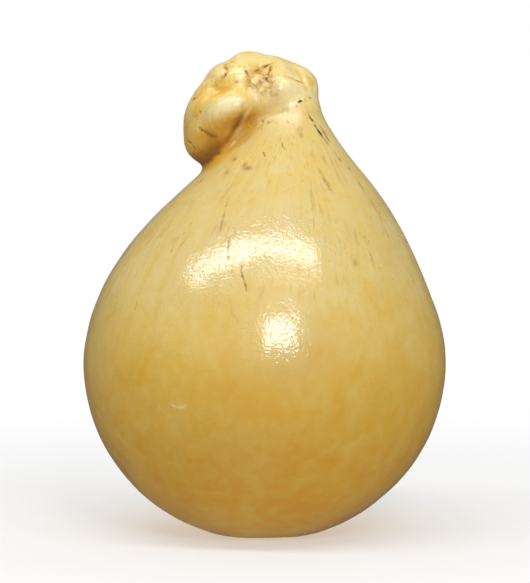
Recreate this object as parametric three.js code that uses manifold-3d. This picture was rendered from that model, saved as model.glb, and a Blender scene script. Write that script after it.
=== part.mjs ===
// Provola: a pear-shaped cheese of stretched curd, drawn up by hand into a neck and closed at the top
// by a knob of folds that droops to one side. It is uncut, so it is one solid.
// Millimetres, +Z up, seen from -Y, with the origin in the middle of the flat spot it rests on.
import * as THREE from 'three';
import Module from 'manifold-3d';

// Belly and neck: half the outline, as distances from the axis and heights
const FOOT_RADIUS = 24;
const BELLY_RADIUS = 79.1;
const BELLY_HEIGHT = 73.3;
const BELLY_RISE = 16;
const FLANK_RADIUS = 40.2;
const FLANK_HEIGHT = 152;
const FLANK_SLOPE = THREE.MathUtils.degToRad(44);
const FLANK_BELOW = 45;
const FLANK_ABOVE = 5;
const NECK_RADIUS = 12.6;
const NECK_HEIGHT = 185;
const NECK_SLOPE = THREE.MathUtils.degToRad(23.6);
const NECK_BELOW = 12.4;
const NECK_CAP = 8;

// The outline is followed in steps, and taken as no steeper than this when depths are measured from it
const OUTLINE_STEPS = 400;
const STEEPEST = 6;

// The axis leans sideways on its way up the neck
const LEAN = 13;
const LEAN_FROM = 100;
const LEAN_TO = 200;

// Hand-made unevenness of the belly: two and three broad swellings around it, the second turning as it rises
const UNEVEN = 0.6;
const UNEVEN_TURN = 0.7;
const UNEVEN_SHARE = 0.6;
const UNEVEN_RISE = 40;

// Head: its middle, the ball at its heart, and how softly the folds run into each other and into the neck
const HEAD = new THREE.Vector3(-8, 6, 191);
const HEART_RADIUS = 13.5;
const FOLD_BLEND = 0.7;
const NECK_BLEND = 1.0;
const CREST_STEPS = 16;

// Faces: their edges on the belly and on the head, the heights between which they change, and how near
// their corners lie to the skin
const BELLY_EDGE = 11;
const HEAD_EDGE = 2.7;
const FINER_FROM = 116;
const FINER_TO = 188;
const SKIN_TOLERANCE = 0.01;
const HEIGHT_TOLERANCE = 1e-4;

// Space searched for the skin, with room around the cheese: half its width once stretched, and its heights
const HALF_WIDTH = 175;
const LOWEST = -8;
const HIGHEST = 216;

// Folds of the head: points along each crest, from the middle of the head, and the radius of its back
const FOLDS = [
  { name: 'hanging front', girth: 7, crest: [[-6.7, -24, -7.3], [-14.5, -22.5, -10.5], [-20.5, -16, -19],
    [-21.5, -9, -27]] },
  { name: 'hanging inner', girth: 6, crest: [[-9.5, -18, -11.5], [-13.5, -15.8, -19.5], [-16.5, -12, -26]] },
  { name: 'hanging cheek', girth: 9, crest: [[-22.5, -11.5, -12], [-22.5, -11, -20], [-21.5, -8, -27]] },
  { name: 'hanging side', girth: 11, crest: [[-19.5, -2, 3], [-25, -3, -15.5], [-23, -3, -28]] },
  { name: 'hanging back', girth: 10, crest: [[-6, 17, 3], [-16, 14, -11], [-19, 6, -25]] },
  { name: 'upper left', girth: 8, crest: [[-13, 7, 11], [-15.5, -4, 11], [-11.5, -12, 10.5], [-5.5, -15, 10.5]] },
  { name: 'crown', girth: 9.5, crest: [[8, 4, 16.5], [9, -2, 17.6], [1.5, -3, 19.3], [-0.5, -11, 14.5]] },
  { name: 'right', girth: 9, crest: [[19, 6, 9], [19, -3, 13.8], [19.5, -13, 8.5], [20, -15.5, 2.5]] },
  { name: 'right tip', girth: 9, crest: [[26.5, 0, 9.5], [32, -2, 5], [31, -3, -1.5]] },
  { name: 'right front', girth: 9, crest: [[23, -14.5, 3], [28, -10, 2]] },
  { name: 'right back', girth: 9, crest: [[9, 12, 10], [19, 11, -2]] },
  { name: 'saddle', girth: 8, crest: [[10, -13, 9], [10, -15, 0]] },
  { name: 'web', girth: 6, crest: [[10, -17, -4], [5, -16, -6], [0, -13.5, -11.5], [-3.5, -11, -18],
    [-7.5, -8.5, -25]] },
  { name: 'web root', girth: 6, crest: [[10.5, -14.5, -9.5], [4, -12.5, -13.5], [-1, -10.5, -18.5],
    [-6, -8.5, -23.5], [-10, -6.5, -27.5]] },
  { name: 'inside', girth: 11, crest: [[2, -2, -22], [-6, 0, -26], [-12, 0, -28]] },
];

// Hollows pressed into the head: middle, from the middle of the head, with width and depth
const HOLLOWS = [
  { name: 'gathering', at: [9, -13, 10], width: 4, depth: 1.5 },
  { name: 'dimple', at: [-18, -15, -13], width: 4, depth: 1.6 },
];

// Half outline, round below the foot too, up to the axis inside the head
function makeOutline() {
  const drop = BELLY_HEIGHT / Math.sqrt(1 - (FOOT_RADIUS / BELLY_RADIUS) ** 2);
  const flank = new THREE.Vector2(FLANK_RADIUS, FLANK_HEIGHT);
  const flankUp = new THREE.Vector2(-Math.sin(FLANK_SLOPE), Math.cos(FLANK_SLOPE));
  const neck = new THREE.Vector2(NECK_RADIUS, NECK_HEIGHT);
  const neckUp = new THREE.Vector2(-Math.sin(NECK_SLOPE), Math.cos(NECK_SLOPE));
  const belowFlank = flank.clone().addScaledVector(flankUp, -FLANK_BELOW);
  const aboveFlank = flank.clone().addScaledVector(flankUp, FLANK_ABOVE);
  const belowNeck = neck.clone().addScaledVector(neckUp, -NECK_BELOW);

  const outline = new THREE.Path();
  outline.moveTo(0, BELLY_HEIGHT - drop);
  outline.absellipse(0, BELLY_HEIGHT, BELLY_RADIUS, drop, -Math.PI / 2, 0, false);
  outline.bezierCurveTo(
    BELLY_RADIUS, BELLY_HEIGHT + BELLY_RISE, belowFlank.x, belowFlank.y, flank.x, flank.y);
  outline.bezierCurveTo(aboveFlank.x, aboveFlank.y, belowNeck.x, belowNeck.y, neck.x, neck.y);
  outline.absellipse(0, NECK_HEIGHT, NECK_RADIUS, NECK_CAP, 0, Math.PI / 2, false);
  return outline.getSpacedPoints(OUTLINE_STEPS);
}

const outline = makeOutline();
const bottom = outline[0].y;
const peak = outline[OUTLINE_STEPS].y;

// Width of the outline at a height, and how steeply it changes there
function outlineAt(height) {
  let below = 0;
  let above = outline.length - 1;
  while (above - below > 1) {
    const middle = (below + above) >> 1;
    if (outline[middle].y > height) above = middle;
    else below = middle;
  }
  const low = outline[below];
  const high = outline[above];
  const slope = (high.x - low.x) / (high.y - low.y);
  return { width: low.x + slope * (height - low.y), slope };
}

// How deep a point lies in the belly and neck, which lean over and are a little uneven
function bodyDepth(point) {
  const height = THREE.MathUtils.clamp(point.z, bottom, peak);
  const x = point.x - LEAN * THREE.MathUtils.smoothstep(point.z, LEAN_FROM, LEAN_TO);
  const angle = Math.atan2(point.y, x);
  const pair = Math.sin(2 * angle + UNEVEN_TURN);
  const triple = UNEVEN_SHARE * Math.sin(3 * angle + height / UNEVEN_RISE);
  const swell = UNEVEN * (pair + triple) * THREE.MathUtils.clamp(height / BELLY_HEIGHT, 0, 1);
  const { width, slope } = outlineAt(height);
  const depth = width * (1 + swell / BELLY_RADIUS) - Math.hypot(x, point.y);
  const even = depth / Math.hypot(1, Math.min(STEEPEST, Math.abs(slope)));
  return Math.min(even, point.z - bottom, peak - point.z);
}

// Each fold as a row of beads that lie under its crest
const folds = FOLDS.map(({ girth, crest }) => {
  const curve = new THREE.CatmullRomCurve3(crest.map((place) => new THREE.Vector3(...place)));
  const beads = curve.getPoints(CREST_STEPS).map((place) => {
    return place.setLength(place.length() - girth).add(HEAD);
  });
  return { girth, beads };
});

const hollows = HOLLOWS.map(({ at, width, depth }) => {
  return { middle: new THREE.Vector3(...at).add(HEAD), width, depth };
});

// Greatest of several depths, rounded where two are alike
function softMost(depths, blend) {
  const most = Math.max(...depths);
  return most + blend * Math.log(depths.reduce((sum, depth) => sum + Math.exp((depth - most) / blend), 0));
}

// How deep a point lies in the cheese
function cheeseDepth(point) {
  const depths = folds.map(({ girth, beads }) => {
    return girth - Math.sqrt(Math.min(...beads.map((bead) => bead.distanceToSquared(point))));
  });
  depths.push(HEART_RADIUS - point.distanceTo(HEAD));
  let depth = softMost([softMost(depths, FOLD_BLEND), bodyDepth(point)], NECK_BLEND);
  for (const { middle, width, depth: pressed } of hollows) {
    depth -= pressed * Math.exp(-point.distanceToSquared(middle) / width ** 2);
  }
  return depth;
}

// Space is stretched towards the head, so that faces of one size there come out small on the head
const STRETCH = BELLY_EDGE / HEAD_EDGE - 1;

function stretchAt(height) {
  return 1 + STRETCH * THREE.MathUtils.smoothstep(height, FINER_FROM, FINER_TO);
}

function stretched(height) {
  const span = FINER_TO - FINER_FROM;
  const share = THREE.MathUtils.clamp((height - FINER_FROM) / span, 0, 1);
  const risen = span * (share ** 3 - share ** 4 / 2) + Math.max(0, height - FINER_TO);
  return height + STRETCH * risen;
}

function unstretched(rise) {
  let below = LOWEST;
  let above = HIGHEST;
  while (above - below > HEIGHT_TOLERANCE) {
    const middle = (below + above) / 2;
    if (stretched(middle) > rise) above = middle;
    else below = middle;
  }
  return (below + above) / 2;
}

function shrink(place) {
  const height = unstretched(place[2]);
  const scale = stretchAt(height);
  return new THREE.Vector3(place[0] / scale, place[1] / scale, height);
}

// The solid is the skin where the depth is nothing, cut flat where it rests
const wasm = await Module();
wasm.setup();
const bounds = {
  min: [-HALF_WIDTH, -HALF_WIDTH, LOWEST],
  max: [HALF_WIDTH, HALF_WIDTH, stretched(HIGHEST)],
};
const solid = wasm.Manifold
  .levelSet((place) => cheeseDepth(shrink(place)), bounds, BELLY_EDGE, 0, SKIN_TOLERANCE)
  .warp((place) => {
    const point = shrink(place);
    place[0] = point.x;
    place[1] = point.y;
    place[2] = point.z;
  })
  .trimByPlane([0, 0, 1], 0);

// The solid's surface
function makeSurface() {
  const { vertProperties, triVerts } = solid.getMesh();
  const surface = new THREE.BufferGeometry();
  surface.setAttribute('position', new THREE.BufferAttribute(vertProperties, 3));
  surface.setIndex(new THREE.BufferAttribute(triVerts, 1));
  surface.computeVertexNormals();
  return surface;
}

const rind = new THREE.MeshStandardMaterial({ color: 0xdcc07a, roughness: 0.35, metalness: 0 });

const cheese = new THREE.Mesh(makeSurface(), rind);
cheese.name = 'provola';

const part = new THREE.Group();
part.add(cheese);

export default part;
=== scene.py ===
import math

import bmesh
import bpy
import numpy as np
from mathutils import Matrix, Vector, noise
from mathutils.bvhtree import BVHTree


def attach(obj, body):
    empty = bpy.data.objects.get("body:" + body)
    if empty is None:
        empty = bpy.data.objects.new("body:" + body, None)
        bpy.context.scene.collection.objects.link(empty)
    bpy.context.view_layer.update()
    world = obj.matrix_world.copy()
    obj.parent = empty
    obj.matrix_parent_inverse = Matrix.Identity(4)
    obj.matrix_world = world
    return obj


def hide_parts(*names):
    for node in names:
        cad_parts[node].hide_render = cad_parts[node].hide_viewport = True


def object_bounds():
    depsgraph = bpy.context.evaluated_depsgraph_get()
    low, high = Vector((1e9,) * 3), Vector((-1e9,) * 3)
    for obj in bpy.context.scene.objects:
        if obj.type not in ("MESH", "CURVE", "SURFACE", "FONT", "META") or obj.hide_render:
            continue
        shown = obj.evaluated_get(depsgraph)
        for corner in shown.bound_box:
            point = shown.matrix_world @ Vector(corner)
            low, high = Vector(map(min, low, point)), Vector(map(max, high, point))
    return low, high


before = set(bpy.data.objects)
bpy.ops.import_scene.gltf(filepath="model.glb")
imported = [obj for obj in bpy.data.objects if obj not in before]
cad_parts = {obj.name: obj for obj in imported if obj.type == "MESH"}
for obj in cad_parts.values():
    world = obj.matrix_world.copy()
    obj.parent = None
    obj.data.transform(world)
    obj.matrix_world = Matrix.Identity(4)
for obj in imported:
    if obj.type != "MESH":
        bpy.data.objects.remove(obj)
cad_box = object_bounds()
scene = bpy.context.scene


# Viewpoint: the cheese is seen from the front, a little from above, from about a metre away.
# The photograph's own frame is kept as a width, so that a mark can be placed by where it shows there.
SHOT_WIDTH, SHOT_HEIGHT = 530, 583
SHOT_SPAN = 0.2862
SHOT_AIM = Vector((-0.0729, 0, 0.0573))
EYE_RISE = math.radians(6)
EYE_DISTANCE = 1.0

towards_eye = Vector((0, -math.cos(EYE_RISE), math.sin(EYE_RISE)))
eye = SHOT_AIM + EYE_DISTANCE * towards_eye
shot_up = Vector((0, math.sin(EYE_RISE), math.cos(EYE_RISE)))


def sight_line(x, y):
    """Direction from the eye through a place in the photograph's frame, in its pixels."""
    pixel = SHOT_SPAN / SHOT_WIDTH
    across = Vector((1, 0, 0)) * (x - SHOT_WIDTH / 2) * pixel
    upwards = shot_up * (SHOT_HEIGHT / 2 - y) * pixel
    return (across + upwards - EYE_DISTANCE * towards_eye).normalized()


# The camera looks from the same eye at the middle of the whole cheese, with a margin around it
VIEW_AIM = (Vector(cad_box[0]) + Vector(cad_box[1])) / 2
VIEW_SPAN = 0.232
look = VIEW_AIM - eye
camera = bpy.data.objects.new("camera", bpy.data.cameras.new("camera"))
camera.data.sensor_fit = "HORIZONTAL"
camera.data.lens = camera.data.sensor_width * look.length / VIEW_SPAN
camera.location = eye
camera.rotation_euler = look.to_track_quat("-Z", "Y").to_euler()
scene.collection.objects.link(camera)
scene.camera = camera


# Cheese: one piece of stretched curd, drawn up by hand into a neck and closed by tucking its end into
# a knob of folds. The skin is the same curd, dried and rubbed smooth with oil. Its form is the solid's,
# rounded, with the knob and the marked places made of finer faces, and then creased and wrinkled.
WELD = 1e-5
SUBDIVISIONS, SKIN_CELL = 2, 0.00165
ROUNDING_ROUNDS, ROUNDING_EASE = 2, 0.5

# Finer faces: the height on the knob that they start from, and how far they reach from narrow marks, which
# are those with a half width under the last value, in millimetres
FINE_FROM, FINE_FADE = 0.160, 0.003
FINE_REACH, FINEST_REACH = 0.0030, 0.0014
FINE_MARK = 1.0

# Grain of the curd: broad dents, smaller ones and wrinkles that run up to the neck, all fading at the foot
DENT_SIZE, DENT_DEPTH = 0.032, 0.00040
RIPPLE_SIZE, RIPPLE_DEPTH = 0.010, 0.00012
WRINKLE_TURNS, WRINKLE_RISE, WRINKLE_DEPTH = 17, 0.36, 0.00007
FOOT_FADE = 0.02
LEAN, LEAN_FROM, LEAN_TO = 0.013, 0.100, 0.200

# The gathering, where the folds were pinched together: its place, size and crumpled relief
GATHER_AT, GATHER_SIZE, GATHER_GRAIN, GATHER_DEPTH = (402, 31), 0.0075, 0.0026, 0.00025
GATHER_FALLOFF, GATHER_LACUNARITY, GATHER_OCTAVES = 0.8, 2.0, 3
GATHER_LEAST = 0.02

# Creases, cracks and smudges, and places of painted shade, sheen and highlight, by where they show in the
# photograph: what colours them, half width and depth in millimetres, how strong the colour is, and their
# path
MARKS = [
    # Creases of the knob
    # Marks that only deepen the colour: in the knob's creases and folds partly painted shade, elsewhere
    # the skin's own tone
    ("tint", 1.90, 0.70, 0.5, [(370, 15), (370.6, 20.7), (368, 27), (363, 33), (356, 38)]),
    ("tint", 1.70, 0.60, 0.5, [(410, 14), (403, 17), (396, 20.5), (389, 26)]),
    ("tint", 1.50, 0.40, 0.4, [(416, 25), (426.4, 28.3), (433, 33)]),
    ("tint", 4.00, 0.00, 0.5, [(399, 22), (405, 31), (409, 41)]),
    ("stain", 2.20, 0.00, 0.50, [(396, 22), (404, 30), (411, 42)]),
    ("stain", 1.60, 0.00, 0.50, [(409, 15), (400, 19), (392, 24)]),
    ("stain", 1.30, 0.00, 0.40, [(386, 23), (391, 33), (396, 41)]),
    ("stain", 1.20, 0.00, 0.35, [(414, 60), (405, 64), (398, 68)]),
    ("stain", 1.00, 0.00, 0.40, [(424, 52), (416, 56), (408, 59)]),
    ("stain", 1.60, 0.00, 0.35, [(346, 86), (354, 88), (361, 87)]),
    ("stain", 2.40, 0.00, 0.40, [(341, 84), (347, 91), (354, 95)]),
    ("tint", 2.60, 0.00, 0.9, [(352, 44), (347, 52), (344, 60)]),
    ("tint", 2.40, 0.00, 0.7, [(338, 62), (337, 72), (338, 80)]),
    ("tint", 4.50, 0.00, 0.8, [(354, 32), (350, 40), (345, 49)]),
    ("tint", 2.50, 0.00, 0.5, [(345, 74), (353, 73), (361, 77)]),
    ("stain", 0.70, 0.45, 0.94, [(370, 16), (370.6, 20.7), (369, 25.3), (366, 29)]),
    ("stain", 0.70, 0.35, 0.94, [(408.5, 14.5), (403, 17), (398, 19.5), (393, 22)]),
    ("stain", 1.30, 1.30, 0.20, [(430, 20), (432.5, 25.3), (436.4, 33), (440, 39)]),
    ("stain", 0.30, 0.10, 0.75, [(420.3, 26), (426.4, 28.3), (431.8, 31.4), (435.6, 33.7)]),
    ("tint", 1.60, 0.35, 0.4, [(350.7, 49.8), (360.6, 41.3), (372.9, 36), (382, 37.5)]),
    ("stain", 0.60, 0.40, 0.80, [(348, 68.5), (351, 71), (355, 73)]),
    ("tint", 0.80, 0.25, 0.8, [(351, 71), (356, 74), (362, 76)]),
    ("stain", 0.45, 0.30, 0.75, [(338, 77), (340, 80.4), (344, 84), (345.3, 87.6)]),
    ("stain", 0.60, 0.12, 0.56, [(348.4, 88), (352, 88.4), (356.8, 89.5)]),
    ("tint", 0.60, 0.45, 0.5, [(383, 39), (387, 42.5), (389.5, 46), (389.5, 51)]),
    ("stain", 0.40, 0.12, 0.44, [(390.4, 30.6), (394, 35), (399, 40.5)]),
    ("stain", 0.35, 0.10, 0.44, [(391, 35), (395, 39), (402, 43)]),
    ("stain", 0.70, 0.15, 0.85, [(386, 21), (387.4, 23), (390, 28)]),
    ("stain", 0.80, 0.20, 0.94, [(396.6, 26.8), (402, 27), (406, 32), (407, 38)]),
    ("stain", 0.75, 0.15, 0.85, [(408, 17.6), (406, 23), (402, 27)]),
    ("stain", 0.30, 0.07, 0.25, [(346, 34), (345.6, 40), (346, 46)]),
    ("stain", 0.30, 0.07, 0.25, [(351, 32), (350, 38), (350, 45)]),
    ("stain", 0.30, 0.06, 0.25, [(355, 30), (354, 36), (353.5, 40)]),
    ("stain", 0.45, 0.25, 0.50, [(348.8, 53.6), (349.4, 56), (350, 58)]),
    ("tint", 1.00, 0.05, 0.6, [(394, 63.5), (384.5, 73.5), (379, 80)]),
    # Painted shade along the cleft beside the drooping fold, under its base and in a dimple
    ("deep", 1.50, 0.00, 0.45, [(386, 53), (382.5, 60), (377, 70), (370, 80), (362, 92)]),
    ("deep", 3.60, 0.00, 0.6, [(368, 80), (362, 88), (355, 96), (345, 98)]),
    ("deep", 1.50, 0.00, 0.4, [(352, 71.5), (357, 74), (364, 76.5)]),
    ("stain", 0.50, 0.05, 0.75, [(378, 31), (380, 31.8)]),
    ("stain", 0.50, 0.05, 0.88, [(343.6, 45), (345, 45.6)]),
    ("stain", 0.80, 0.10, 0.55, [(407.5, 41.7), (413.5, 41.3)]),
    ("tint", 1.20, 0.10, 0.9, [(437.5, 30), (440.5, 35)]),
    ("scratch", 0.60, 0.05, 0.9, [(429.8, 48.3), (433.4, 46.8)]),
    ("stain", 0.45, 0.05, 0.94, [(427.6, 51.8), (429, 50)]),
    ("stain", 0.45, 0.05, 0.94, [(439, 43), (439.8, 45)]),
    # Scratches and flecks of the neck
    ("scratch", 0.60, 0.10, 0.7, [(437, 54.3), (440, 60.5), (444.8, 68.9), (449.4, 75.8), (455, 83)]),
    ("scratch", 0.50, 0.08, 0.6, [(446.6, 66), (451.5, 73), (456, 81)]),
    ("scratch", 0.40, 0.08, 0.7, [(462, 93), (465, 97)]),
    ("scratch", 0.40, 0.08, 0.6, [(470, 100), (472, 103.5)]),
    ("stain", 0.45, 0.05, 0.75, [(399.6, 61.8), (401.2, 63.8)]),
    ("stain", 0.45, 0.05, 0.75, [(403.8, 63), (405.4, 65.4)]),
    ("stain", 0.35, 0.07, 0.75, [(415.6, 81), (416.5, 83.4), (418.4, 87)]),
    ("stain", 0.40, 0.07, 0.94, [(400.6, 89), (402.4, 92)]),
    ("stain", 1.20, 0.10, 0.62, [(385, 97), (387, 102), (391, 103)]),
    ("stain", 1.00, 0.05, 0.65, [(377.8, 92), (376.8, 96)]),
    ("stain", 1.00, 0.05, 0.65, [(372, 102.8), (370.4, 107)]),
    ("stain", 1.10, 0.05, 0.60, [(432, 67), (431, 72), (431.4, 77)]),
    ("stain", 0.45, 0.07, 0.94, [(446, 102), (448.6, 107)]),
    ("stain", 0.85, 0.07, 0.62, [(448.6, 107), (452, 113), (457, 121.4)]),
    ("stain", 0.40, 0.05, 0.94, [(352, 109.6), (348.8, 113)]),
    ("tint", 1.00, 0.00, 0.9, [(451, 127), (452.6, 129)]),
    ("tint", 1.00, 0.00, 0.8, [(389.6, 127.6), (390.4, 129.6)]),
    ("tint", 0.90, 0.00, 0.8, [(404.6, 111.5), (405.4, 113.5)]),
    ("tint", 0.90, 0.00, 0.7, [(421.6, 106), (422.4, 108)]),
    ("stain", 0.70, 0.05, 0.55, [(478, 112), (484, 122)]),
    ("stain", 0.60, 0.05, 0.50, [(489, 128), (494, 139)]),
    ("stain", 0.60, 0.05, 0.45, [(466, 108), (470, 116)]),
    ("stain", 0.60, 0.05, 0.50, [(500, 150), (504, 160)]),
    ("stain", 0.90, 0.00, 0.40, [(331, 124), (324, 131)]),
    ("stain", 0.80, 0.00, 0.40, [(343, 128), (338, 136)]),
    # Cracks and smudges of the belly
    ("stain", 0.35, 0.12, 0.75, [(370.5, 129.5), (368.6, 138), (366, 148), (365, 153.6)]),
    ("stain", 0.50, 0.17, 0.92, [(372.3, 157), (371, 166), (371.4, 176.8)]),
    ("stain", 0.35, 0.10, 0.44, [(364.4, 180), (363.4, 187.5)]),
    ("stain", 0.35, 0.10, 0.38, [(393.8, 168), (393, 176.8)]),
    ("stain", 0.45, 0.15, 0.85, [(382, 181), (383, 190), (386.6, 202.7)]),
    ("stain", 0.45, 0.10, 0.31, [(372, 210), (374, 220), (378.6, 228.6)]),
    ("stain", 0.40, 0.07, 0.56, [(297.3, 209), (295.5, 218)]),
    ("stain", 0.35, 0.07, 0.50, [(298, 184), (295.5, 191)]),
    ("stain", 0.50, 0.05, 0.38, [(496, 140), (500, 158)]),
    ("stain", 1.30, 0.00, 0.50, [(475, 175), (476.4, 183)]),
    ("stain", 2.00, 0.00, 0.18, [(486, 232), (489, 237)]),
    ("stain", 1.80, 0.00, 0.16, [(323, 248), (327, 253)]),
    ("stain", 1.80, 0.00, 0.16, [(325, 277), (329, 281)]),
    ("stain", 1.80, 0.00, 0.16, [(351, 294), (358, 298)]),
    ("tint", 7.00, 0.00, 0.4, [(362, 283), (384, 287), (408, 280)]),
    ("tint", 4.50, 0.00, 0.6, [(472, 269), (478, 273)]),
    ("tint", 3.50, 0.00, 0.4, [(442, 250), (447, 253)]),
    ("tint", 4.00, 0.00, 0.6, [(299, 264), (305, 268)]),
    # Painted sheen where the belly's two highlights fall; there the gloss is also smoother and finely
    # wrinkled
    ("film", 13.0, 0.00, 1.0, [(336, 199), (352, 182), (375, 164), (402, 155), (421, 150), (437, 160)]),
    ("film", 12.0, 0.00, 1.0, [(402, 228), (416, 232), (424, 248), (400, 256)]),
    # Pale places: the first two are painted highlights on the top of the nose and on the saddle of the
    # knob
    ("pale", 2.60, 0.00, 0.7, [(358, 58), (368, 52), (376, 49), (383, 49)]),
    ("pale", 5.00, 0.00, 0.7, [(402, 48), (415, 44), (424, 34), (428, 27)]),
    ("pale", 1.00, 0.00, 0.5, [(392.7, 49), (387.5, 57), (383.6, 65), (377.4, 76.5)]),
    ("pale", 0.45, 0.25, 0.7, [(325, 293), (327, 295.4), (330, 296.2), (334, 295.8), (336.6, 294.6)]),
]
MILLIMETRES = 1000
PATH_STEPS, SHORTEST_RUN = 24, 1e-6
WAVER, WAVER_SIZE = 0.0008, 0.0028

# Across a mark, in half widths: how far it acts, where its raised rim lies and how far its colour spreads
MARK_REACH, RIM_AT, COLOUR_SPREAD = 4, 2.2, 1.3

# Height of the rim as a share of the mark's depth, and the share of the colour that is left at the ends
RIM_SHARE, COLOUR_AT_ENDS = 0.12, 0.4

# Painted shade under the knob: where it lies, by how steeply the skin faces down and by height
FACING_FROM, FACING_TO = -0.25, 0.75
UNDER_FROM, UNDER_TO = 0.145, 0.160

# Hollows are measured against the skin evened out, a little and then a lot
NEAR_ROUNDS, WIDE_ROUNDS, HOLLOW_EASE = 12, 120, 0.6


def smoothstep(value, low, high):
    """Share from 0 to 1 of the way from low to high, eased at both ends."""
    share = np.clip((value - low) / (high - low), 0, 1)
    return share * share * (3 - 2 * share)


def points_of(mesh, what="co"):
    """A mesh's points, or their normals, as rows of numbers."""
    rows = np.empty(len(mesh.vertices) * 3, np.float32)
    mesh.vertices.foreach_get(what, rows)
    return rows.reshape(-1, 3).astype(float)


def set_points(mesh, points):
    """Moves a mesh's points."""
    mesh.vertices.foreach_set("co", points.astype(np.float32).ravel())
    mesh.update()


def neighbours_mean(mesh):
    """A function that gives, for each point's values, the mean of the neighbouring points' values."""
    pairs = np.empty(len(mesh.edges) * 2, np.int32)
    mesh.edges.foreach_get("vertices", pairs)
    first, second = pairs.reshape(-1, 2).T
    count = np.bincount(pairs, minlength=len(mesh.vertices)).astype(float)

    def mean(values):
        total = np.empty_like(values)
        for column in range(values.shape[1]):
            total[:, column] = np.bincount(first, values[second, column], len(values))
            total[:, column] += np.bincount(second, values[first, column], len(values))
        return total / count[:, None]

    return mean


def path_distance(points, path):
    """Distance of each point from a path of straight runs, and how far along it the nearest place is."""
    nearest = np.full(len(points), np.inf)
    along = np.zeros(len(points))
    for number, (start, end) in enumerate(zip(path[:-1], path[1:])):
        run = end - start
        share = np.clip((points - start) @ run / max(run @ run, SHORTEST_RUN ** 2), 0, 1)
        away = np.linalg.norm(points - start - share[:, None] * run, axis=1)
        along = np.where(away < nearest, (number + share) / (len(path) - 1), along)
        nearest = np.minimum(nearest, away)
    return nearest, along


def near_box(points, path, reach):
    """Which points lie in the box around a path, with some reach around it."""
    inside = (points > path.min(0) - reach) & (points < path.max(0) + reach)
    return np.flatnonzero(inside.all(1))


def refine(mesh, kept):
    """Halves the edges of a mesh that run between two kept points."""
    fine = bmesh.new()
    fine.from_mesh(mesh)
    edges = [edge for edge in fine.edges if kept[edge.verts[0].index] and kept[edge.verts[1].index]]
    bmesh.ops.subdivide_edges(fine, edges=edges, cuts=1, use_grid_fill=True)
    fine.to_mesh(mesh)
    fine.free()


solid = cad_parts["provola"]
curd = bmesh.new()
curd.from_mesh(solid.data)
bmesh.ops.remove_doubles(curd, verts=curd.verts, dist=WELD)
cheese = bpy.data.objects.new("cheese", bpy.data.meshes.new("cheese"))
curd.to_mesh(cheese.data)
curd.free()
scene.collection.objects.link(cheese)
rounded = cheese.modifiers.new("rounded", "SUBSURF")
rounded.levels = SUBDIVISIONS
rounded.render_levels = SUBDIVISIONS
even = cheese.modifiers.new("even", "REMESH")
even.mode = "VOXEL"
even.voxel_size = SKIN_CELL
shown = cheese.evaluated_get(bpy.context.evaluated_depsgraph_get())
skin_mesh = bpy.data.meshes.new_from_object(shown)
cheese.modifiers.clear()
cheese.data = skin_mesh
mean = neighbours_mean(skin_mesh)
points = points_of(skin_mesh)
for _ in range(ROUNDING_ROUNDS):
    points += ROUNDING_EASE * (mean(points) - points)
set_points(skin_mesh, points)

# Where the marks run on the skin
smooth = bmesh.new()
smooth.from_mesh(skin_mesh)
skin_tree = BVHTree.FromBMesh(smooth)
smooth.free()


def on_skin(places):
    """Where the photograph's places lie on the cheese, without those that lie just beside it."""
    hits = [skin_tree.ray_cast(eye, sight_line(x, y))[0] for x, y in places]
    return np.array([hit for hit in hits if hit])


def mark_path(places):
    """A mark's path on the skin, in even steps."""
    steps = np.linspace(0, len(places) - 1, PATH_STEPS)
    return on_skin(zip(*[np.interp(steps, range(len(places)), column) for column in zip(*places)]))


mark_paths = [mark_path(places) for *_, places in MARKS]

# Finer faces on the knob, and finer again along the narrow marks
refine(skin_mesh, points[:, 2] > FINE_FROM)
for reach in (FINE_REACH, FINEST_REACH):
    points = points_of(skin_mesh)
    marked = np.zeros(len(points), bool)
    for (_, half_width, *_), path in zip(MARKS, mark_paths):
        if half_width < FINE_MARK:
            near = near_box(points, path, reach)
            marked[near] |= path_distance(points[near], path)[0] < reach
    refine(skin_mesh, marked)
mean = neighbours_mean(skin_mesh)
points = points_of(skin_mesh)
for _ in range(ROUNDING_ROUNDS):
    knob_share = smoothstep(points[:, 2:], FINE_FROM, FINE_FROM + FINE_FADE)
    points += ROUNDING_EASE * (mean(points) - points) * knob_share
set_points(skin_mesh, points)

# Broad dents, ripples and wrinkles of the skin
normals = points_of(skin_mesh, "normal")
lean = LEAN * smoothstep(points[:, 2], LEAN_FROM, LEAN_TO)
grain = np.empty(len(points))
for index, (x, y, z) in enumerate(points):
    around = Vector((x - lean[index], y, 0)).normalized()
    around.z = z / WRINKLE_RISE
    grain[index] = (
        DENT_DEPTH * noise.noise(Vector((x, y, z)) / DENT_SIZE)
        + RIPPLE_DEPTH * noise.noise(Vector((x, y, z)) / RIPPLE_SIZE)
        + WRINKLE_DEPTH * noise.noise(around * WRINKLE_TURNS))
grain *= smoothstep(points[:, 2], 0.0, FOOT_FADE)
points += normals * grain[:, None]
set_points(skin_mesh, points)

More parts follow.
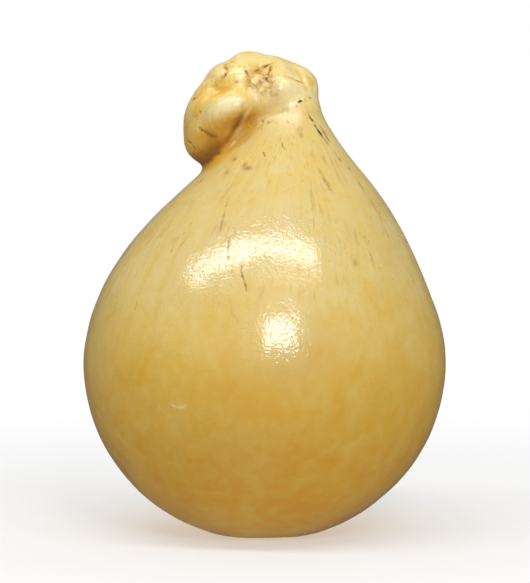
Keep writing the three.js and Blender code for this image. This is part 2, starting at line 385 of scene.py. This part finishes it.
# Marks: they waver and run out at both ends, and the curd is pushed up a little along their sides
normals = points_of(skin_mesh, "normal")
tones = {tone: np.zeros(len(points)) for tone in ("stain", "scratch", "tint", "deep", "film", "pale")}
sink = np.zeros(len(points))
for (tone, half_width, depth, strength, _), path in zip(MARKS, mark_paths):
    near = near_box(points, path, MARK_REACH * max(1, half_width) / MILLIMETRES)
    waver = WAVER * min(1, half_width) * np.array(
        [noise.noise_vector(Vector(point) / WAVER_SIZE) for point in points[near]])
    away, along = path_distance(points[near] + waver, path)
    away *= MILLIMETRES / half_width
    taper = np.sqrt(np.clip(4 * along * (1 - along), 0, 1))
    rim = RIM_SHARE * np.exp(-((away - RIM_AT) ** 2))
    sink[near] += depth / MILLIMETRES * taper * (rim - np.exp(-away ** 2))
    fading = COLOUR_AT_ENDS + (1 - COLOUR_AT_ENDS) * taper
    shade = strength * fading * np.exp(-(away / COLOUR_SPREAD) ** 2)
    tones[tone][near] = np.maximum(tones[tone][near], shade)
gather = on_skin([GATHER_AT])[0]
facing_down = smoothstep(-normals[:, 2], FACING_FROM, FACING_TO)
# Painted shade under the knob, where the skin faces down
tones["under"] = facing_down * smoothstep(points[:, 2], UNDER_FROM, UNDER_TO)
tones["gather"] = np.exp(-(np.linalg.norm(points - gather, axis=1) / GATHER_SIZE) ** 2)
for index in np.flatnonzero(tones["gather"] > GATHER_LEAST):
    crumple = noise.fractal(
        Vector(points[index]) / GATHER_GRAIN, GATHER_FALLOFF, GATHER_LACUNARITY, GATHER_OCTAVES)
    sink[index] += GATHER_DEPTH * tones["gather"][index] * crumple
points += normals * sink[:, None]
set_points(skin_mesh, points)

# How far each place lies below the skin around it, near by and over a wider reach, in millimetres
normals = points_of(skin_mesh, "normal")
settled = points.copy()
for name, rounds in (("near_hollow", NEAR_ROUNDS), ("wide_hollow", WIDE_ROUNDS)):
    for _ in range(rounds):
        settled += HOLLOW_EASE * (mean(settled) - settled)
    tones[name] = np.einsum("ij,ij->i", normals, settled - points) * MILLIMETRES
for name, values in tones.items():
    stored = skin_mesh.attributes.new(name, "FLOAT", "POINT")
    stored.data.foreach_set("value", values.astype(np.float32))
for polygon in skin_mesh.polygons:
    polygon.use_smooth = True


# Rind: the curd's own cream, deeper in random patches. Painted shade makes it deeper and darker low down,
# under the knob and in folds, and painted light makes the knob lighter. Brown oil streaks the neck, dirt
# stains the creases, and a dried film gives the gloss.


class Wire:
    """A socket of a material's node tree, to write its arithmetic as expressions."""

    def __init__(self, tree, socket=None):
        self.tree = tree
        self.socket = socket

    def node(self, kind, settings, values, output=0):
        made = self.tree.nodes.new(kind)
        for name, value in settings.items():
            setattr(made, name, value)
        for name, value in values.items():
            if isinstance(value, Wire):
                self.tree.links.new(value.socket, made.inputs[name])
            else:
                made.inputs[name].default_value = value
        return Wire(self.tree, made.outputs[output] if made.outputs else None)

    def math(self, operation, *values):
        return self.node("ShaderNodeMath", {"operation": operation}, dict(enumerate(values)))

    def vector(self, operation, *values, output=0):
        return self.node("ShaderNodeVectorMath", {"operation": operation}, dict(enumerate(values)), output)

    def step(self, low, high):
        return self.node(
            "ShaderNodeMapRange", {"interpolation_type": "SMOOTHSTEP"},
            {"Value": self, "From Min": low, "From Max": high})

    def blend(self, start, end):
        return self.node("ShaderNodeMix", {"data_type": "RGBA"}, {0: self, 6: start, 7: end}, 2)

    def speckle(self, scale, detail, roughness=0.5, distortion=0.0, output=0):
        return self.node("ShaderNodeTexNoise", {}, {
            "Vector": self, "Scale": scale, "Detail": detail, "Roughness": roughness,
            "Distortion": distortion}, output)

    def __add__(self, other):
        return self.math("ADD", self, other)

    def __sub__(self, other):
        return self.math("SUBTRACT", self, other)

    def __rsub__(self, other):
        return self.math("SUBTRACT", other, self)

    def __mul__(self, other):
        return self.math("MULTIPLY", self, other)

    __radd__ = __add__
    __rmul__ = __mul__


def colour(red, green, blue):
    """A colour as light, from the numbers it has on a screen."""
    linear = [(value / 255 / 12.92 if value < 10.3 else ((value / 255 + 0.055) / 1.055) ** 2.4)
              for value in (red, green, blue)]
    return (*linear, 1)


CREAM = colour(250, 222, 140)
# A dimming laid over the body, much less over the knob: painted light that makes the knob lighter
DIMMING = colour(70, 60, 40)
STREAK = colour(172, 122, 34)
# Dark brown of the painted shade under the knob
SHADE = colour(112, 62, 0)
STAIN = colour(104, 62, 8)
SCRATCH = colour(56, 50, 48)
# Pale places, and painted highlights on the knob
PALE_AND_HIGHLIGHT = colour(246, 234, 190)
# Whitish haze of the painted sheen where the belly's highlights fall
PAINTED_SHEEN = colour(214, 202, 168)

# Heights between which each change of the rind comes in
BODY_RISE, KNOB_RISE = (0.0, 0.130), (0.182, 0.192)
PULLS_RISE, STREAKS_RISE, FRECKLES_RISE = (0.060, 0.130), (0.085, 0.135), (0.150, 0.185)
DRY_RISE = (0.110, 0.175)

# Fineness of each pattern, in repeats per metre
BEND_SCALE, PATCH_SCALE, SPOT_SCALE, CLUSTER_SCALE = 55, 42, 135, 75
FRECKLE_SCALE, GRIME_SCALE, BREAK_SCALE = 400, 650, 330
FILM_SCALE, PUCKER_SCALE, DIMPLE_SCALE = 24, 520, 150

# Patterns along the drawn curd: how far they bend, and their repeats around the axis and up a metre
BEND = 1.6
DRAWN_AROUND, DRAWN_UP = 16, 55
PULLED_AROUND, PULLED_UP = 22, 22

# How much each cause adds to the depth of colour, and the most that folds and tints give together
# Low down, under the knob, in shade marks and folds the depth is painted shade; on the knob, painted light
LOW_SHADE_DEEPER, UNDERSIDE_SHADE_DEEPER, SHADE_MARK_DEEPER, PULLS_DEEPER, KNOB_PAINTED_LIGHTER = 1.5, 1.4, 1.5, 0.25, 0.15
WIDE_DEEPER, NEAR_DEEPER, TINT_AND_SHADE_DEEPER, FOLDS_MOST = 0.6, 0.4, 0.9, 0.9

# How much of each colour is laid over the cream
# The dimming is painted light on the knob, which gets much less of it; the dark brown is painted shade
DIMMING_SHARE, KNOB_LESS_DIMMED, SHADE_SHARE = 0.17, 0.15, 0.85
STREAK_SHARE, FLECK_SHARE, FOLD_SHARE, FRECKLE_SHARE, GATHER_SHARE = 0.6, 0.55, 0.3, 0.6, 0.65
# Pale places are partly painted highlights, and the haze is painted sheen
PALE_AND_HIGHLIGHT_SHARE, PAINTED_SHEEN_SHARE = 0.8, 0.3

# Gloss: the bare skin's roughness, what the film takes off it, and the height of the fine wrinkles
BARE_ROUGHNESS, FILM_SMOOTHER, SPOT_ROUGHER = 0.35, 0.27, 0.08
FILM_COAT = 0.15
PUCKER_HEIGHT = 0.00017

rind = bpy.data.materials.new("rind")
rind.use_nodes = True
rind.node_tree.nodes.clear()
wire = Wire(rind.node_tree)
place = wire.node("ShaderNodeTexCoord", {}, {}, 3)
height = wire.node("ShaderNodeSeparateXYZ", {}, {0: place}, 2)
layer = {name: wire.node("ShaderNodeAttribute", {"attribute_name": name}, {}, 2) for name in tones}

# Coordinates that follow the drawn curd, away from the axis and up the neck, a little bent
axis = wire.node("ShaderNodeCombineXYZ", {}, {0: height.step(LEAN_FROM, LEAN_TO) * LEAN, 2: height})
outward = wire.vector("NORMALIZE", wire.vector("SUBTRACT", place, axis))
bend = wire.vector("MULTIPLY", place.speckle(BEND_SCALE, 2, output=1), (BEND, BEND, BEND))


def along_curd(around, up):
    """Coordinates that repeat this often around the axis and up a metre."""
    sideways = wire.vector("MULTIPLY", outward, (around, around, 0))
    upwards = wire.vector("MULTIPLY", place, (0, 0, up))
    return wire.vector("ADD", bend, wire.vector("ADD", sideways, upwards))


drawn = along_curd(DRAWN_AROUND, DRAWN_UP)
pulled = along_curd(PULLED_AROUND, PULLED_UP)
radiating = wire.vector("NORMALIZE", wire.vector("SUBTRACT", place, tuple(gather)))

# Depth of colour, as the power that the cream is raised to
low = 1 - height.step(*BODY_RISE)
knob = height.step(*KNOB_RISE)
patches = place.speckle(PATCH_SCALE, 3, 0.6, 0.4) - 0.5
spots = place.speckle(SPOT_SCALE, 3, 0.6, 0.6) - 0.5
pulls = pulled.speckle(1.0, 3, 0.6, 0.5).step(0.42, 0.72) * height.step(*PULLS_RISE)
# Painted shade: the colour deeper and darker low down
deepness = low * LOW_SHADE_DEEPER + patches * (low + 0.6) + spots * (low + knob * 0.7 + 0.8)
# Painted light: the knob's colour is less deep, so it shows lighter
deepness = deepness + pulls * PULLS_DEEPER - knob * KNOB_PAINTED_LIGHTER
# Painted shade: the colour deeper in the skin's hollows and folds, with the deeper tone of the tint marks
wide_fold_shade = layer["wide_hollow"].step(0.2, 1.6)
near_fold_shade = layer["near_hollow"].step(0.01, 0.2)
fold_shade_and_tint = wide_fold_shade * WIDE_DEEPER + near_fold_shade * NEAR_DEEPER + layer["tint"] * TINT_AND_SHADE_DEEPER
fold_shade_and_tint = wire.math("MINIMUM", fold_shade_and_tint, FOLDS_MOST)
# Painted shade under the knob and along the shade marks deepens the colour
deepness = deepness + fold_shade_and_tint + layer["under"] * UNDERSIDE_SHADE_DEEPER + layer["deep"] * SHADE_MARK_DEEPER
skin = wire.node("ShaderNodeGamma", {}, {"Color": CREAM, "Gamma": deepness + 1})
# Painted light: the body is dimmed and the knob much less, so the knob shows lighter
skin = (DIMMING_SHARE - knob * KNOB_LESS_DIMMED).blend(skin, DIMMING)
# Painted shade: dark brown under the knob and along the shade marks
skin = ((layer["under"] + layer["deep"]).step(0.7, 1.5) * SHADE_SHARE).blend(skin, SHADE)

# Streaks of darker oil, short and in clusters, small flecks, and lines that fan out from the gathering
upper = height.step(*STREAKS_RISE)
clusters = place.speckle(CLUSTER_SCALE, 2, 0.5, 0.5)
streaks = drawn.speckle(1.3, 4, 0.65).step(0.50, 0.78) * clusters.step(0.38, 0.66) * upper
skin = (streaks * STREAK_SHARE).blend(skin, STREAK)
flecks = drawn.speckle(3.0, 3, 0.6).step(0.60, 0.70) * clusters.step(0.45, 0.6) * upper
skin = (flecks * FLECK_SHARE).blend(skin, STREAK)
folds = radiating.speckle(7, 4, 0.6).step(0.5, 0.75) * knob
skin = (folds * FOLD_SHARE).blend(skin, STREAK)
freckles = place.speckle(FRECKLE_SCALE, 2, 0.6).step(0.65, 0.74) * height.step(*FRECKLES_RISE)
skin = (freckles * FRECKLE_SHARE).blend(skin, STREAK)

# Dirt that has settled in the gathering and the creases, over pale places, partly painted highlights on
# the knob, and over painted sheen where the belly's highlights fall
grime = place.speckle(GRIME_SCALE, 4, 0.65)
broken = place.speckle(BREAK_SCALE, 3, 0.65).step(0.36, 0.62)
gathered = layer["gather"].step(0.10, 0.9) * (grime + broken).step(0.7, 1.4)
skin = (gathered * GATHER_SHARE).blend(skin, STREAK)
# Pale places, partly painted highlights on the knob
skin = (layer["pale"] * PALE_AND_HIGHLIGHT_SHARE).blend(skin, PALE_AND_HIGHLIGHT)
# Painted sheen: a whitish haze where the belly's highlights fall
skin = (layer["film"] * PAINTED_SHEEN_SHARE).blend(skin, PAINTED_SHEEN)
skin = (layer["stain"].step(0.0, 0.8) * (grime * 0.7 + broken * 0.5)).blend(skin, STREAK)
skin = (layer["stain"] * (grime + 0.45) * broken).step(0.30, 0.95).blend(skin, STAIN)
skin = (layer["scratch"] * (grime + 0.6) * (broken * 0.5 + 0.5)).step(0.15, 0.65).blend(skin, SCRATCH)

# Fine wrinkles that break up the gloss, where a film of oil has dried
gloss = place.speckle(FILM_SCALE, 2).step(0.3, 0.7) * 0.35 + 0.3
gloss = gloss * (1 - height.step(*DRY_RISE) * 0.85)
film = gloss + layer["film"] * 0.4
puckers = place.speckle(PUCKER_SCALE, 1, 0.4, 1.2)
dimples = place.speckle(DIMPLE_SCALE, 2, 0.5, 0.6)
relief = puckers * (film * 0.92 + 0.08) + dimples * 0.25
bump = wire.node("ShaderNodeBump", {}, {"Strength": 1.0, "Distance": PUCKER_HEIGHT, "Height": relief})
rough = BARE_ROUGHNESS - film * FILM_SMOOTHER + spots * SPOT_ROUGHER
body = wire.node("ShaderNodeBsdfPrincipled", {}, {
    "Base Color": skin, "Roughness": rough, "Normal": bump, "IOR": 1.5,
    "Specular IOR Level": 1.0, "Coat Weight": film * FILM_COAT, "Coat Roughness": 0.12, "Coat IOR": 1.45,
    "Subsurface Weight": 0.30, "Subsurface Radius": (1.0, 0.65, 0.25), "Subsurface Scale": 0.004})
wire.node("ShaderNodeOutputMaterial", {}, {"Surface": body})
skin_mesh.materials.clear()
skin_mesh.materials.append(rind)
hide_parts("provola")
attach(cheese, "root")


# Floor: a wide, plain table top, matt white, on which the cheese stands. It glows more and more away from
# the cheese, so that it runs into the white backdrop, and it throws no light of its own on the cheese.
FLOOR_RADIUS = 6.0
FLOOR_SIDES = 96
GLOW_FROM, GLOW_TO = 0.05, 0.5
GLOW_LEAST = 0.35
slab = bmesh.new()
bmesh.ops.create_circle(slab, cap_ends=True, radius=FLOOR_RADIUS, segments=FLOOR_SIDES)
floor = bpy.data.objects.new("floor", bpy.data.meshes.new("floor"))
slab.to_mesh(floor.data)
slab.free()
table_white = bpy.data.materials.new("table_white")
table_white.use_nodes = True
table_white.node_tree.nodes.clear()
top = Wire(table_white.node_tree)
spread = top.vector("LENGTH", top.node("ShaderNodeTexCoord", {}, {}, 3), output=1)
matt = top.node("ShaderNodeBsdfDiffuse", {}, {"Color": (0.9, 0.9, 0.9, 1)})
glow = top.node("ShaderNodeEmission", {}, {"Color": (1, 1, 1, 1), "Strength": 1.0})
glowing = spread.step(GLOW_FROM, GLOW_TO) * (1 - GLOW_LEAST) + GLOW_LEAST
faded = top.node("ShaderNodeMixShader", {}, {0: glowing, 1: matt, 2: glow})
top.node("ShaderNodeOutputMaterial", {}, {"Surface": faded})
floor.data.materials.append(table_white)
floor.visible_diffuse = False
floor.visible_glossy = False
scene.collection.objects.link(floor)


# Studio light: a long, narrow soft box overhead and a smaller one over the camera, both white and both
# turned to the cheese, with the faint light of the room around them
LIGHT_AIM = Vector((0, 0, 0.1))


def soft_box(name, azimuth, elevation, distance, width, depth, power):
    """A rectangle of soft light that faces the cheese. Azimuth 0 is the camera's side."""
    around, rise = math.radians(azimuth), math.radians(elevation)
    back = Vector((
        math.sin(around) * math.cos(rise), -math.cos(around) * math.cos(rise), math.sin(rise)))
    lamp = bpy.data.objects.new(name, bpy.data.lights.new(name, "AREA"))
    lamp.data.shape = "RECTANGLE"
    lamp.data.size = width
    lamp.data.size_y = depth
    lamp.data.energy = power
    lamp.location = LIGHT_AIM + distance * back
    lamp.rotation_euler = (-back).to_track_quat("-Z", "Y").to_euler()
    scene.collection.objects.link(lamp)


soft_box("overhead_box", azimuth=-14, elevation=62, distance=1.0, width=1.32, depth=0.15, power=5.6)
soft_box("front_box", azimuth=8, elevation=26, distance=1.1, width=0.32, depth=0.32, power=3.0)

# The room: faint light from its walls and floor, which the gloss hardly mirrors, and a white backdrop
FROM_FLOOR, FROM_BELOW, FROM_SIDES, FROM_BEHIND, FROM_FRONT = 0.5, 0.15, 0.36, 0.75, 0.27
FROM_ALL_ROUND = 0.14
MIRRORED_SHARE = 0.1

sky = bpy.data.worlds.new("studio")
sky.use_nodes = True
scene.world = sky
air = Wire(sky.node_tree)
sky.node_tree.nodes.clear()
seen = air.node("ShaderNodeLightPath", {}, {}, 0)
mirrored = air.node("ShaderNodeLightPath", {}, {}, 3)
facing = air.node("ShaderNodeTexCoord", {}, {}, 3)
drop = 0 - air.node("ShaderNodeSeparateXYZ", {}, {0: facing}, 2)
aside = air.math("ABSOLUTE", air.node("ShaderNodeSeparateXYZ", {}, {0: facing}, 0))
behind = air.node("ShaderNodeSeparateXYZ", {}, {0: facing}, 1)
bounce = drop.step(0.3, 0.7) * FROM_FLOOR + drop.step(0.0, 0.1) * FROM_BELOW + FROM_ALL_ROUND
bounce = bounce + aside.step(0.0, 0.8) * (0 - drop).step(0.0, 0.4) * FROM_SIDES
bounce = bounce + behind.step(0.0, 0.9) * FROM_BEHIND + (0 - behind).step(0.2, 1.0) * FROM_FRONT
dim = air.node("ShaderNodeBackground", {}, {
    "Color": (1, 1, 1, 1), "Strength": bounce * (1 + MIRRORED_SHARE - mirrored)})
backdrop = air.node("ShaderNodeBackground", {}, {"Color": (1, 1, 1, 1), "Strength": 1.0})
mixed = air.node("ShaderNodeMixShader", {}, {0: seen, 1: dim, 2: backdrop})
air.node("ShaderNodeOutputWorld", {}, {"Surface": mixed})

scene.view_settings.view_transform = "Standard"
scene.view_settings.look = "None"
